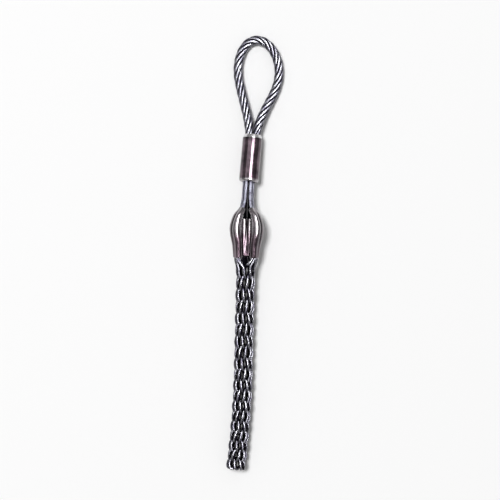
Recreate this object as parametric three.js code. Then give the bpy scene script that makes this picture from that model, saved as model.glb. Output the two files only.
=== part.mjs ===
// Cable pulling grip: a wire rope eye, a pressed steel sleeve, six wire legs, three splice sleeves
// and a tubular mesh woven from nine long strands that double back at the tail.
// Millimetres, +Z up. The grip lies on the ground along Y, eye towards +Y and mesh towards -Y.
// Lengths along the grip are measured as Y from the mouths of the splice sleeves, where Y is 0.

import * as THREE from "three";

// Pulling eye
const ROPE_D = 6.3; // 1/4 in wire rope
const ROPE_PRESSED_D = 5.2; // each rope end inside the main sleeve
const ROPE_LAY = 36; // length of one turn of the rope's six outer strands
const ROPE_GROOVE = 0.87; // depth of the valley between two strands, as a share of the radius
const EYE_WIDEST = 45; // from the main sleeve to the widest place of the eye
const EYE_CROWN = 21.8; // from the widest place to the tip, along the rope's centre line
const EYE_HALF_WIDTH = 14.45;
const EYE_SWAY = 4.1; // how far the eye leans to one side
const EYE_SWAY_AT = 52;
const EYE_FLAT_FROM = 36; // beyond here the eye lies flat on the ground
const ROPE_BITE = 16; // depth of the bore for the rope ends in the main sleeve
const ROPE_SWELL = 8; // length over which the pressed rope regains its full size
const ROPE_END_GAP = 0.3; // between the two rope ends in the main sleeve
const ROPE_END_SPACE = 1; // left free below the rope ends in their bore

// Main sleeve
const MAIN_OD = 13.65;
const MAIN_LENGTH = 33.3;
const MAIN_FROM = 53; // lower end of the sleeve
const MAIN_BEVEL = 2.6; // length of the collar at the eye's end
const MAIN_END_D = 12;
const MAIN_ROUND = 1.4; // rounding of the edge round the legs
const MAIN_SLOPE = 0.079; // fall of the sleeve towards the eye, per millimetre
const MAIN_LEAN = 0.0865; // lean of the sleeve to the right, per millimetre
const MAIN_BORE_STEP = 1.5; // length over which the bore changes from the rope ends to the legs

// Wire legs between the main sleeve and the splice sleeves
const LEG_D = 2.6;
const LEG_BITE = 13; // leg held inside the main sleeve
const LEG_END = 16.5; // lower end of a leg, inside its splice sleeve
const LEG_GAP = 0.2; // between the two legs of a pair
const SPREAD_FROM = 47; // the legs run together above here
const SHOULDER_AT = 33.5; // the spreading legs turn towards their sleeves here
const SHOULDER_RADIUS = 4.3;

// Splice sleeves
const SPLICE_COUNT = 3;
const SPLICE_LOWER = 0.7;
const SPLICE_LENGTH = 27.8;
const BOW_AT = 20; // the widest place of the pear that the sleeves form
const BOW_RADIUS = 9.25; // from the grip's axis to the middle of a sleeve
const MOUTH_RADIUS = 6.93;
const TOP_RADIUS = 8.3;
const LOBE_R_MOUTH = 2.15;
const LOBE_R_BOW = 2.9;
const LOBE_R_TOP = 1.85;
const LOBE_GAP_BOW = 1.9; // half the distance between the two lobes

// Mesh
const STRAND_D = 1.55;
const STRAND_COUNT = 9;
const MESH_OD = 13.86;
const MESH_TWIST = Math.PI / 18; // turn of the mesh against the splice sleeves
const LEVELS = 19; // rows of crossings
const FIRST_PITCH = 8.75; // first row spacing
const PITCH_LOSS = 0.128; // each row is this much closer than the one before
const ROW_TURN = Math.PI / STRAND_COUNT; // turn of a strand from row to row
const FLAT = 0.2; // share of a row that a strand runs level over a crossing
const STRAIGHTEN = 0.6; // how far a strand straightens where it lies outside: 0 not at all, 1 fully
const HAIRPIN = 3; // length of the turned-back end of a strand
const HAIRPIN_HOLD = 1.3; // how steeply a strand changes from inside to outside in its hairpin
const STRAND_START = 14; // upper end of a strand, inside its splice sleeve

// Clearances
const GAP = 0.25;
const ROPE_GAP = 0.2; // round the rope ends in the main sleeve
const SIDE_GAP = 0.1; // between two strands side by side in a sleeve's mouth
const MOUTH_GAP = 0.15; // round the strands in a sleeve's mouth
const CROSSING_GAP = 0.25; // between two strands where they cross
const STACK_GAP = 0.15; // between two strands held one over the other in a sleeve

// Sizes that follow from those above
const ROPE_R = ROPE_D / 2;
const ROPE_PRESSED_R = ROPE_PRESSED_D / 2;
const ROPE_HALF_SPACING = ROPE_PRESSED_R + ROPE_END_GAP / 2;
const MAIN_R = MAIN_OD / 2;
const MAIN_TO = MAIN_FROM + MAIN_LENGTH;
const LEG_R = LEG_D / 2;
const LEG_HALF_SPACING = LEG_R + LEG_GAP / 2;
const BUNDLE_RADIUS = LEG_HALF_SPACING / Math.tan(Math.PI / (2 * SPLICE_COUNT));
const BUNDLE_OD = 2 * (LEG_HALF_SPACING / Math.sin(Math.PI / (2 * SPLICE_COUNT)) + LEG_R);
const STRAND_R = STRAND_D / 2;
const STRANDS_ACROSS = STRAND_COUNT / SPLICE_COUNT; // side by side in a sleeve's mouth, in two layers
const MOUTH_HALF_SPACING = ((STRAND_D + SIDE_GAP) * (STRANDS_ACROSS - 1)) / 2;
const STACK = STRAND_R + STACK_GAP / 2;
const WAVE = STRAND_R + CROSSING_GAP / 2;
const MESH_MID = MESH_OD / 2 - STRAND_R - WAVE;
const SPLICE_UPPER = SPLICE_LOWER + SPLICE_LENGTH;
const MOUTH_BORE_R = STACK + STRAND_R + MOUTH_GAP;
const LEG_BORE_R = LEG_R + GAP;

// The line that the grip lies along, seen from above: [Y, X]
const LINE_KNOTS = [
  [-150, -8.2], [-122, -5.2], [-95, -3.2], [-50, -1.9], [0, -0.7], [36, 0.2],
  [MAIN_FROM, 1.2], [MAIN_TO, 1.2 + MAIN_LEAN * MAIN_LENGTH],
];

// Height of the grip's axis: the mesh, the lowest splice sleeve and the eye rest on the ground
const BOW_HEIGHT = BOW_RADIUS + LOBE_R_BOW;
const climb = (share) => MESH_OD / 2 + share * (BOW_HEIGHT - MESH_OD / 2);
const fall = (y) => BOW_HEIGHT - MAIN_SLOPE * (y - BOW_AT);
const HEIGHT_KNOTS = [
  [-95, climb(0)], [-50, climb(0)], [-24.5, climb(0.23)], [-4.9, climb(0.62)],
  [BOW_AT, BOW_HEIGHT], [MAIN_FROM, fall(MAIN_FROM)], [MAIN_TO, fall(MAIN_TO)],
];

// Distance from the grip's axis to the middle of a pair of legs, and half the pair's spacing
const BRANCH_KNOTS = [
  [SPLICE_LOWER, MOUTH_RADIUS], [BOW_AT / 2, MOUTH_RADIUS + 0.25 * (BOW_RADIUS - MOUTH_RADIUS)],
  [BOW_AT, BOW_RADIUS], [SPLICE_UPPER, TOP_RADIUS], [SHOULDER_AT, SHOULDER_RADIUS],
  [(SHOULDER_AT + SPREAD_FROM) / 2, BUNDLE_RADIUS + 0.17 * (SHOULDER_RADIUS - BUNDLE_RADIUS)],
  [SPREAD_FROM, BUNDLE_RADIUS], [MAIN_TO, BUNDLE_RADIUS],
];
const PAIR_KNOTS = [
  [SPLICE_LOWER, MOUTH_HALF_SPACING], [BOW_AT, LOBE_GAP_BOW],
  [SPLICE_UPPER, LEG_HALF_SPACING], [MAIN_TO, LEG_HALF_SPACING],
];

// A splice sleeve's lobes, and how deep the crease between them is: 0 none, 1 two full rounds
const LOBE_KNOTS = [[SPLICE_LOWER, LOBE_R_MOUTH], [BOW_AT, LOBE_R_BOW], [SPLICE_UPPER, LOBE_R_TOP]];
const CREASE_KNOTS = [[SPLICE_LOWER, 0], [BOW_AT, 1], [SPLICE_UPPER, 0]];

// Smooth curve through knots of [place, value], straight beyond its ends
function through(knots, place) {
  const last = knots.length - 1;
  const slope = (a, b) => (knots[b][1] - knots[a][1]) / (knots[b][0] - knots[a][0]);
  if (place <= knots[0][0]) return knots[0][1] + slope(0, 1) * (place - knots[0][0]);
  if (place >= knots[last][0]) return knots[last][1] + slope(last - 1, last) * (place - knots[last][0]);
  const i = knots.findIndex((knot, index) => index < last && place < knots[index + 1][0]);
  const span = knots[i + 1][0] - knots[i][0];
  const t = (place - knots[i][0]) / span;
  const startSlope = slope(Math.max(i - 1, 0), i + 1);
  const endSlope = slope(i, Math.min(i + 2, last));
  return hermite(t, span, knots[i][1], startSlope, knots[i + 1][1], endSlope);
}

function hermite(t, span, start, startSlope, end, endSlope) {
  const ease = smooth(t);
  return start + (end - start) * ease
    + span * (startSlope * t * (1 - t) * (1 - t) - endSlope * t * t * (1 - t));
}

function smooth(t) {
  const limited = Math.min(Math.max(t, 0), 1);
  return limited * limited * (3 - 2 * limited);
}

// Half the distance between the two points that give a line its direction
const PROBE = 0.25;

const axisPoint = (y) => new THREE.Vector3(through(LINE_KNOTS, y), y, through(HEIGHT_KNOTS, y));

// A right-handed frame that looks down the grip: side is towards +X, up away from the ground
function axisFrame(y) {
  const centre = axisPoint(y);
  const along = axisPoint(y - PROBE).sub(axisPoint(y + PROBE)).normalize();
  const side = new THREE.Vector3(0, 0, 1).cross(along).normalize();
  return { centre, along, side, up: along.clone().cross(side) };
}

function aroundAxis(y, angle, radius) {
  const { centre, side, up } = axisFrame(y);
  centre.addScaledVector(side, radius * Math.cos(angle));
  return centre.addScaledVector(up, radius * Math.sin(angle));
}

// Frame of one branch of the pear: across runs round the grip, inward points to its axis
const branchAngle = (branch) => Math.PI / 6 + (2 * Math.PI * branch) / SPLICE_COUNT;

function branchFrame(branch, y) {
  const angle = branchAngle(branch);
  const at = (place) => aroundAxis(place, angle, through(BRANCH_KNOTS, place));
  const along = at(y - PROBE).sub(at(y + PROBE)).normalize();
  const { side, up } = axisFrame(y);
  const across = side.multiplyScalar(-Math.sin(angle)).addScaledVector(up, Math.cos(angle));
  across.addScaledVector(along, -across.dot(along)).normalize();
  return { centre: at(y), along, side: across, up: along.clone().cross(across) };
}

// Point in a branch: across runs from -1 to 1 over the pair, inward is an offset towards the axis
function branchPoint(branch, across, inward, y) {
  const { centre, side, up } = branchFrame(branch, y);
  return centre.addScaledVector(side, across * through(PAIR_KNOTS, y)).addScaledVector(up, inward);
}

// Places along the grip from one Y to another, both included
const placesBetween = (from, to, steps) =>
  Array.from({ length: steps + 1 }, (_, i) => from + ((to - from) * i) / steps);

// Frames along a line of points, carried from point to point without twist
function framesAlong(points) {
  const normal = new THREE.Vector3();
  return points.map((centre, i) => {
    const before = points[Math.max(i - 1, 0)];
    const after = points[Math.min(i + 1, points.length - 1)];
    const along = after.clone().sub(before).normalize();
    if (i === 0) normal.set(0, 0, 1);
    normal.addScaledVector(along, -normal.dot(along)).normalize();
    return { centre, along, side: normal.clone(), up: along.clone().cross(normal) };
  });
}

const placeRing = (frame, outline) => outline.map(([x, y]) =>
  frame.centre.clone().addScaledVector(frame.side, x).addScaledVector(frame.up, y));

function geometryFrom(points, triangles) {
  const geometry = new THREE.BufferGeometry().setFromPoints(points);
  geometry.setIndex(triangles);
  return geometry;
}

// Triangles of the skin between neighbouring rings, facing out for rings that turn with the frame
function skin(firstRing, ringCount, size, inside) {
  const triangles = [];
  for (let ring = firstRing; ring < firstRing + ringCount - 1; ring += 1) {
    for (let i = 0; i < size; i += 1) {
      const a = ring * size + i;
      const b = ring * size + ((i + 1) % size);
      if (inside) triangles.push(a, b + size, b, a, a + size, b + size);
      else triangles.push(a, b, b + size, a, b + size, a + size);
    }
  }
  return triangles;
}

// Solid with a closed outline at each frame and a flat cap at each end
function solidAlong(frames, outlineAt) {
  const rings = frames.map((frame, i) => placeRing(frame, outlineAt(i)));
  const size = rings[0].length;
  const points = [...rings.flat(), frames[0].centre, frames[frames.length - 1].centre];
  const triangles = skin(0, rings.length, size, false);
  const lastRing = (rings.length - 1) * size;
  for (let i = 0; i < size; i += 1) {
    const next = (i + 1) % size;
    triangles.push(rings.length * size, next, i);
    triangles.push(rings.length * size + 1, lastRing + i, lastRing + next);
  }
  return geometryFrom(points, triangles);
}

// Tube with an outer and an inner skin, open at both ends
function shellBetween(outerRings, innerRings) {
  const size = outerRings[0].length;
  const points = [...outerRings.flat(), ...innerRings.flat()];
  const outerCount = outerRings.length;
  const innerCount = innerRings.length;
  const triangles = [...skin(0, outerCount, size, false), ...skin(outerCount, innerCount, size, true)];
  const innerStart = outerCount * size;
  const outerEnd = (outerCount - 1) * size;
  const innerEnd = innerStart + (innerCount - 1) * size;
  for (let i = 0; i < size; i += 1) {
    const next = (i + 1) % size;
    triangles.push(i, innerStart + i, innerStart + next, i, innerStart + next, next);
    triangles.push(outerEnd + i, innerEnd + next, innerEnd + i);
    triangles.push(outerEnd + i, outerEnd + next, innerEnd + next);
  }
  return geometryFrom(points, triangles);
}

const circle = (radius, sides) => Array.from({ length: sides }, (_, i) => {
  const angle = (2 * Math.PI * i) / sides;
  return [radius * Math.cos(angle), radius * Math.sin(angle)];
});

// Two half circles joined by straight flanks
const obround = (halfSpacing, radius, sides) => Array.from({ length: sides }, (_, i) => {
  const half = sides / 2;
  const lobe = i < half ? 1 : -1;
  const angle = (Math.PI * (i % half)) / (half - 1) - Math.PI / 2;
  return [lobe * (halfSpacing + radius * Math.cos(angle)), lobe * radius * Math.sin(angle)];
});

// Two round lobes side by side, with a crease where they meet
function twoLobes(halfSpacing, radius, sides) {
  const half = sides / 2;
  const reach = Math.PI - Math.acos(halfSpacing / radius);
  return Array.from({ length: sides }, (_, i) => {
    const lobe = i < half ? 1 : -1;
    const angle = (2 * reach * ((i % half) + 0.5)) / half - reach;
    return [lobe * (halfSpacing + radius * Math.cos(angle)), lobe * radius * Math.sin(angle)];
  });
}

// Outline of a pressed sleeve: flat between its lobes where crease is 0, creased where it is 1
function pressedOutline(halfSpacing, radius, crease, sides) {
  const creased = twoLobes(halfSpacing, radius, sides);
  return obround(halfSpacing, radius, sides).map(([x, y], i) =>
    [x + (creased[i][0] - x) * crease, y + (creased[i][1] - y) * crease]);
}

// Six strands laid round a core, as a ridge and a valley for each strand
const ropeOutline = (radius, turn) => Array.from({ length: 12 }, (_, i) => {
  const angle = (Math.PI * i) / 6 + turn;
  const reach = i % 2 === 0 ? radius : radius * ROPE_GROOVE;
  return [reach * Math.cos(angle), reach * Math.sin(angle)];
});

// The main sleeve is straight, so its frame at the middle serves its whole length
const MAIN_FRAME = axisFrame((MAIN_FROM + MAIN_TO) / 2);

function mainSleeveFrame(fromMiddle) {
  const centre = MAIN_FRAME.centre.clone().addScaledVector(MAIN_FRAME.along, -fromMiddle);
  return { ...MAIN_FRAME, centre };
}

function makeMainSleeve() {
  const sides = 24;
  const top = MAIN_LENGTH / 2;
  const rounded = [0, Math.PI / 4, Math.PI / 2].map((angle) =>
    [MAIN_ROUND * (1 - Math.sin(angle)) - top, MAIN_R - MAIN_ROUND * (1 - Math.cos(angle))]);
  const outer = [[top, MAIN_END_D / 2], [top - MAIN_BEVEL, MAIN_R], ...rounded]
    .map(([place, radius]) => placeRing(mainSleeveFrame(place), circle(radius, sides)));
  const ropeBore = ropeEndBore(sides);
  const legBore = circle(BUNDLE_OD / 2 + GAP, sides);
  const boreChange = top - ROPE_BITE;
  const inner = [
    placeRing(mainSleeveFrame(top), ropeBore),
    placeRing(mainSleeveFrame(boreChange), ropeBore),
    placeRing(mainSleeveFrame(boreChange - MAIN_BORE_STEP), legBore),
    placeRing(mainSleeveFrame(-top), legBore),
  ];
  return shellBetween(outer, inner);
}

// The bore round the two rope ends, with its points at the same angles as those of a circle
function ropeEndBore(sides) {
  const reach = ROPE_PRESSED_R + ROPE_GAP;
  return circle(1, sides).map(([x, y]) => {
    const flank = reach / Math.max(Math.abs(y), 1e-9);
    const across = Math.abs(x) * ROPE_HALF_SPACING;
    const end = across + Math.sqrt(across * across - ROPE_HALF_SPACING ** 2 + reach ** 2);
    const scale = Math.abs(x) * flank <= ROPE_HALF_SPACING ? flank : end;
    return [x * scale, y * scale];
  });
}

// Plan of the eye in the main sleeve's frame: the held end, a smooth shoulder, an elliptical crown
function eyePlan() {
  const shoulderSteps = 15;
  const crownSteps = 22;
  const held = placesBetween(ROPE_END_SPACE - ROPE_BITE, 0, 4).slice(0, -1)
    .map((distance) => [ROPE_HALF_SPACING, distance]);
  const shoulder = Array.from({ length: shoulderSteps }, (_, i) => {
    const t = i / shoulderSteps;
    return [ROPE_HALF_SPACING + (EYE_HALF_WIDTH - ROPE_HALF_SPACING) * smooth(t), t * EYE_WIDEST];
  });
  const side = [...held, ...shoulder];
  const crown = Array.from({ length: crownSteps + 1 }, (_, i) => {
    const angle = (Math.PI * i) / crownSteps;
    return [-EYE_HALF_WIDTH * Math.cos(angle), EYE_WIDEST + EYE_CROWN * Math.sin(angle)];
  });
  return [...side.map(([x, y]) => [-x, y]), ...crown, ...side.reverse()];
}

function eyePoint([across, distance]) {
  const neck = mainSleeveFrame(MAIN_LENGTH / 2);
  const point = neck.centre.clone().addScaledVector(neck.side, across);
  if (distance <= 0) return point.addScaledVector(neck.along, -distance);
  const startSlope = -neck.along.z;
  const t = Math.min(distance / EYE_FLAT_FROM, 1);
  const lean = -neck.along.x / -neck.along.y;
  point.x += EYE_SWAY * (1 - (1 - distance / EYE_SWAY_AT) ** 2);
  point.x += (lean - (2 * EYE_SWAY) / EYE_SWAY_AT) * distance * (1 - smooth(distance / EYE_FLAT_FROM));
  point.y += distance;
  point.z = hermite(t, EYE_FLAT_FROM, neck.centre.z, startSlope, ROPE_R, 0);
  return point;
}

function makeEyeRope() {
  const plan = eyePlan();
  const frames = framesAlong(plan.map(eyePoint));
  let travelled = 0;
  const turns = frames.map((frame, i) => {
    if (i > 0) travelled += frame.centre.distanceTo(frames[i - 1].centre);
    return (2 * Math.PI * travelled) / ROPE_LAY;
  });
  return solidAlong(frames, (i) => {
    const radius = ROPE_PRESSED_R + (ROPE_R - ROPE_PRESSED_R) * smooth(plan[i][1] / ROPE_SWELL);
    return ropeOutline(radius, turns[i]);
  });
}

function makeLegStrand(branch, lobe) {
  const places = [MAIN_FROM + LEG_BITE, MAIN_FROM, ...placesBetween(SPREAD_FROM, LEG_END, 13)];
  const frames = framesAlong(places.map((y) => branchPoint(branch, lobe, 0, y)));
  const outline = circle(LEG_R, 6);
  return solidAlong(frames, () => outline);
}

function makeSpliceSleeve(branch) {
  const sides = 14;
  const legPlaces = placesBetween(SPLICE_UPPER, LEG_END, 4);
  const strandPlaces = placesBetween(STRAND_START, SPLICE_LOWER, 4);
  const places = [...legPlaces, ...strandPlaces];
  const outer = places.map((y) => placeRing(branchFrame(branch, y),
    pressedOutline(through(PAIR_KNOTS, y), through(LOBE_KNOTS, y), through(CREASE_KNOTS, y), sides)));
  const inner = places.map((y) => {
    const radius = y > STRAND_START ? LEG_BORE_R : MOUTH_BORE_R;
    return placeRing(branchFrame(branch, y), obround(through(PAIR_KNOTS, y), radius, sides));
  });
  return shellBetween(outer, inner);
}

// Row positions: each row of crossings is a little closer to the last than the one before
const rowY = (row) => -FIRST_PITCH * row + (PITCH_LOSS * row * (row - 1)) / 2;

// In and out wave of a strand: level over each crossing, straight between, outside on even rows
function wave(row) {
  const nearest = Math.round(row);
  const rise = Math.min((0.5 - Math.abs(row - nearest)) / (0.5 - FLAT), 1);
  return nearest % 2 === 0 ? rise : -rise;
}

// Angle of a column of crossings, and of a strand at a row: it straightens where it lies outside
const columnAngle = (column) =>
  branchAngle(0) + MESH_TWIST + 2 * ROW_TURN * (column - (STRANDS_ACROSS - 1) / 2);

function strandAngle(column, hand, row) {
  const straightened = row - (hand * STRAIGHTEN * Math.sin(Math.PI * row)) / Math.PI;
  return columnAngle(column) + hand * ROW_TURN * straightened;
}

// One run of a strand from its splice sleeve to the last row: hand is 1 or -1
function strandRun(column, hand) {
  const branch = Math.floor(column / STRANDS_ACROSS);
  const across = (2 * (column % STRANDS_ACROSS)) / (STRANDS_ACROSS - 1) - 1;
  const radiusAt = (row) => MESH_MID + hand * WAVE * wave(row);

  const held = placesBetween(STRAND_START, SPLICE_LOWER, 3)
    .map((y) => branchPoint(branch, across, hand * STACK, y));

  const mouth = axisFrame(SPLICE_LOWER);
  const offset = held[held.length - 1].clone().sub(mouth.centre);
  const mouthRadius = Math.hypot(offset.dot(mouth.side), offset.dot(mouth.up));
  const mouthAngle = Math.atan2(offset.dot(mouth.up), offset.dot(mouth.side));
  const firstRow = 1 - FLAT;
  const span = SPLICE_LOWER - rowY(firstRow);
  const apart = strandAngle(column, hand, firstRow) - mouthAngle;
  const turn = Math.atan2(Math.sin(apart), Math.cos(apart));
  const endSlope = (hand * ROW_TURN) / FIRST_PITCH;
  const flare = [1 / 3, 2 / 3].map((t) => aroundAxis(
    SPLICE_LOWER - t * span,
    hermite(t, span, mouthAngle, 0, mouthAngle + turn, endSlope),
    mouthRadius + (radiusAt(firstRow) - mouthRadius) * smooth(t),
  ));

  const rows = [firstRow];
  for (let row = 1; row < LEVELS; row += 1) rows.push(row + FLAT, row + 1 - FLAT);
  rows.push(LEVELS);
  const woven = rows.map((row) => aroundAxis(rowY(row), strandAngle(column, hand, row), radiusAt(row)));
  return [...held, ...flare, ...woven];
}

// Turned-back end of a strand: half an ellipse on the mesh's wall, from inside it to outside
function hairpinPoints(column) {
  const steps = 7;
  const startAngle = strandAngle(column, 1, LEVELS);
  return Array.from({ length: steps - 1 }, (_, i) => {
    const t = (Math.PI * (i + 1)) / steps;
    const inside = Math.min(Math.max(HAIRPIN_HOLD * Math.cos(t), -1), 1);
    return aroundAxis(
      rowY(LEVELS) - HAIRPIN * Math.sin(t),
      startAngle + ROW_TURN * (1 - Math.cos(t)),
      MESH_MID + WAVE * wave(LEVELS) * inside,
    );
  });
}

// A strand goes down right-handed, turns back at the tail and comes up left-handed
function makeMeshStrand(column) {
  const returnColumn = (column + LEVELS + 1) % STRAND_COUNT;
  const upwards = strandRun(returnColumn, -1).reverse();
  const points = [...strandRun(column, 1), ...hairpinPoints(column), ...upwards];
  const outline = circle(STRAND_R, 6);
  return solidAlong(framesAlong(points), () => outline);
}

// Finishes
const ropeSteel = new THREE.MeshStandardMaterial({ color: 0x8e8c93, roughness: 0.35, metalness: 1 });
const strandSteel = new THREE.MeshStandardMaterial({ color: 0xa5a4ab, roughness: 0.3, metalness: 1 });
const sleeveSteel = new THREE.MeshStandardMaterial({ color: 0x6a5c5f, roughness: 0.4, metalness: 1 });

const grip = new THREE.Group();
grip.name = "cable_pulling_grip";

function addPiece(name, geometry, material) {
  const mesh = new THREE.Mesh(geometry, material);
  mesh.name = name;
  grip.add(mesh);
}

addPiece("eye_rope", makeEyeRope(), ropeSteel);
addPiece("main_sleeve", makeMainSleeve(), sleeveSteel);
for (let branch = 0; branch < SPLICE_COUNT; branch += 1) {
  addPiece(`splice_sleeve_${branch + 1}`, makeSpliceSleeve(branch), sleeveSteel);
  addPiece(`leg_strand_${2 * branch + 1}`, makeLegStrand(branch, -1), strandSteel);
  addPiece(`leg_strand_${2 * branch + 2}`, makeLegStrand(branch, 1), strandSteel);
}
for (let column = 0; column < STRAND_COUNT; column += 1) {
  addPiece(`mesh_strand_${column + 1}`, makeMeshStrand(column), strandSteel);
}

// The origin is on the ground under the middle of the grip
const extent = new THREE.Box3().setFromObject(grip);
const middle = extent.getCenter(new THREE.Vector3());
grip.position.set(-middle.x, -middle.y, -extent.min.z);

export default grip;
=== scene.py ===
"""Looks of a cable pulling grip: laid wire rope eye, pressed sleeves, wire legs and woven mesh.

Every shape is worked out in millimetres on the grip's own line, with Y counted from the mouths of
the splice sleeves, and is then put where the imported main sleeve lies.
"""

from __future__ import annotations

import logging
import math
from dataclasses import dataclass, field
from enum import Enum

import bpy
import numpy as np
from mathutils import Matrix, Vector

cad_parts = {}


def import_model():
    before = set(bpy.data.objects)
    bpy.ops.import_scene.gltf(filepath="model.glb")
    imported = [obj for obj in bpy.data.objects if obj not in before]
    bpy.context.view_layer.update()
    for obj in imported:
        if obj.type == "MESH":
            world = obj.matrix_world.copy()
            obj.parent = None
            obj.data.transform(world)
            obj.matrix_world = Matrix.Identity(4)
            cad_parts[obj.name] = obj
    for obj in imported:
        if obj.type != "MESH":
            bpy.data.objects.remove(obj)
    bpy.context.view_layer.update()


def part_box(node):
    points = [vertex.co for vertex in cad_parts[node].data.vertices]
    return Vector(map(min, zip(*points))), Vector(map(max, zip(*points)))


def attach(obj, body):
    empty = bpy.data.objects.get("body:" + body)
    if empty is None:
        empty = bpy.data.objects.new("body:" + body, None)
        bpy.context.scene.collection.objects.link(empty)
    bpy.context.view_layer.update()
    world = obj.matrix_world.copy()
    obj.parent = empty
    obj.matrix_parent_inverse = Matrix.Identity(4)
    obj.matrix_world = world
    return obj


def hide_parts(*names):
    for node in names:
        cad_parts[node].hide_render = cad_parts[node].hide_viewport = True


LOG = logging.getLogger("pulling_grip")
MM = 0.001
PROBE = 0.25  # half the distance between the two points that give a line its direction
FIRST_BRANCH = math.pi / 6.0  # angle round the grip's axis of the first pair of legs
SMALLEST = 1e-9  # keeps a divisor away from zero
MIX_A, MIX_B = 6, 7  # the colour sockets of a Mix node, whose names repeat
Knots = tuple[tuple[float, float], ...]
Values = np.ndarray | float


class Slot(Enum):
    """Material slots of the record."""

    ROPE = "rope_steel"
    STRAND = "strand_steel"
    SLEEVE = "sleeve_steel"


# Curves


def smooth(t: Values) -> Values:
    """Ease from 0 to 1: three t squared less two t cubed, with t held between 0 and 1."""
    held = np.clip(t, 0.0, 1.0)
    return held * held * (3.0 - 2.0 * held)


def hermite(
    t: Values,
    span: Values,
    start: Values,
    start_slope: Values,
    end: Values,
    end_slope: Values,
) -> Values:
    """Cubic with given ends and end slopes.

    Args:
        t: place along the span, from 0 to 1.
        span: length of the span.
        start: value at t = 0.
        start_slope: slope at t = 0.
        end: value at t = 1.
        end_slope: slope at t = 1.

    Returns:
        The eased step from start to end, plus the two slopes faded in from their ends.
    """
    fade_in = t * (1.0 - t) ** 2
    fade_out = t * t * (1.0 - t)
    return start + (end - start) * smooth(t) + span * (start_slope * fade_in - end_slope * fade_out)


def through(knots: Knots, place: Values) -> np.ndarray:
    """Smooth curve through knots, straight beyond its ends.

    Args:
        knots: pairs of place and value.
        place: where the curve is wanted.

    Returns:
        A Hermite cubic between neighbouring knots, whose slope at an inner knot is that of the
        line from the knot before to the knot after.
    """
    at = np.array([knot[0] for knot in knots])
    value = np.array([knot[1] for knot in knots])
    slope = np.empty_like(value)
    slope[1:-1] = (value[2:] - value[:-2]) / (at[2:] - at[:-2])
    slope[0] = (value[1] - value[0]) / (at[1] - at[0])
    slope[-1] = (value[-1] - value[-2]) / (at[-1] - at[-2])
    place = np.asarray(place, dtype=float)
    i = np.clip(np.searchsorted(at, place, side="right") - 1, 0, len(at) - 2)
    span = at[i + 1] - at[i]
    inside = hermite((place - at[i]) / span, span, value[i], slope[i], value[i + 1], slope[i + 1])
    below = value[0] + slope[0] * (place - at[0])
    above = value[-1] + slope[-1] * (place - at[-1])
    return np.where(place < at[0], below, np.where(place > at[-1], above, inside))


def unit(vectors: np.ndarray) -> np.ndarray:
    """Vectors at length one."""
    return vectors / np.linalg.norm(vectors, axis=-1, keepdims=True)


def square_to(vectors: np.ndarray, along: np.ndarray) -> np.ndarray:
    """Unit vectors with their share along the given unit directions taken out."""
    return unit(vectors - np.sum(vectors * along, axis=-1, keepdims=True) * along)


@dataclass
class Frames:
    """Stations of a line, with unit vectors of which side crossed with up is along."""

    centre: np.ndarray
    along: np.ndarray
    side: np.ndarray
    up: np.ndarray

    def place(self, x: np.ndarray, y: np.ndarray) -> np.ndarray:
        """Points at x along side and y along up, as stations by points by three."""
        across = np.asarray(x)[..., None] * self.side[:, None, :]
        return self.centre[:, None, :] + across + np.asarray(y)[..., None] * self.up[:, None, :]


@dataclass
class Thread:
    """A line of evenly spaced points with an outward direction at each.

    Attributes:
        frames: stations, with side as the outward direction.
        travelled: distance from the start to each station.
        shine: 1 where the line is open to the light, 0 where it is covered.
    """

    frames: Frames
    travelled: np.ndarray
    shine: np.ndarray


def thread_through(
    points: np.ndarray,
    outward: np.ndarray,
    step: float,
    soften: float = 0.0,
    shine: np.ndarray | None = None,
) -> Thread:
    """Evenly spaced line through dense points.

    Args:
        points: dense points of the line.
        outward: outward direction at each point.
        step: wanted distance between stations.
        soften: length over which kinks are averaged out.
        shine: how open each point is to the light, taken as 1 where none is given.

    Returns:
        The thread. Tangents are centred differences, and the outward direction is squared to them.
    """
    gaps = np.linalg.norm(np.diff(points, axis=0), axis=1)
    run = np.concatenate([[0.0], np.cumsum(gaps)])
    count = int(round(run[-1] / step)) + 1
    at = np.linspace(0.0, run[-1], count)
    centre = np.stack([np.interp(at, run, points[:, axis]) for axis in range(3)], axis=1)
    side = np.stack([np.interp(at, run, outward[:, axis]) for axis in range(3)], axis=1)
    if soften > 0.0:
        half = max(1, int(round(soften / step / 2.0)))
        kernel = np.ones(2 * half + 1) / (2 * half + 1)
        before = 2.0 * centre[0] - centre[half:0:-1]
        after = 2.0 * centre[-1] - centre[-2 : -half - 2 : -1]
        padded = np.concatenate([before, centre, after])
        centre = np.stack(
            [np.convolve(padded[:, axis], kernel, "valid") for axis in range(3)], axis=1
        )
    along = unit(np.gradient(centre, axis=0))
    side = square_to(side, along)
    open_to_light = np.ones(count) if shine is None else np.interp(at, run, shine)
    return Thread(Frames(centre, along, side, np.cross(along, side)), at, open_to_light)


# Meshes


def ring_faces(rings: int, size: int, closed: bool) -> np.ndarray:
    """Four-sided faces between neighbouring rings of a grid.

    Args:
        rings: number of rings.
        size: points in a ring.
        closed: whether the last ring joins the first.

    Returns:
        Point numbers, one row a face, facing out for rings that turn from side to up.
    """
    ring = np.arange(rings if closed else rings - 1)[:, None]
    point = np.arange(size)[None, :]
    after = (ring + 1) % rings
    turned = (point + 1) % size
    here, there = ring * size, after * size
    corners = [here + point, here + turned, there + turned, there + point]
    return np.stack(np.broadcast_arrays(*corners), axis=-1).reshape(-1, 4)


@dataclass
class Placement:
    """Moves millimetre points of the grip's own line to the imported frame, in metres."""

    shift: np.ndarray

    def to_frame(self, points: np.ndarray) -> np.ndarray:
        """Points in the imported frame."""
        return (points.reshape(-1, 3) + self.shift) * MM


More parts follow.
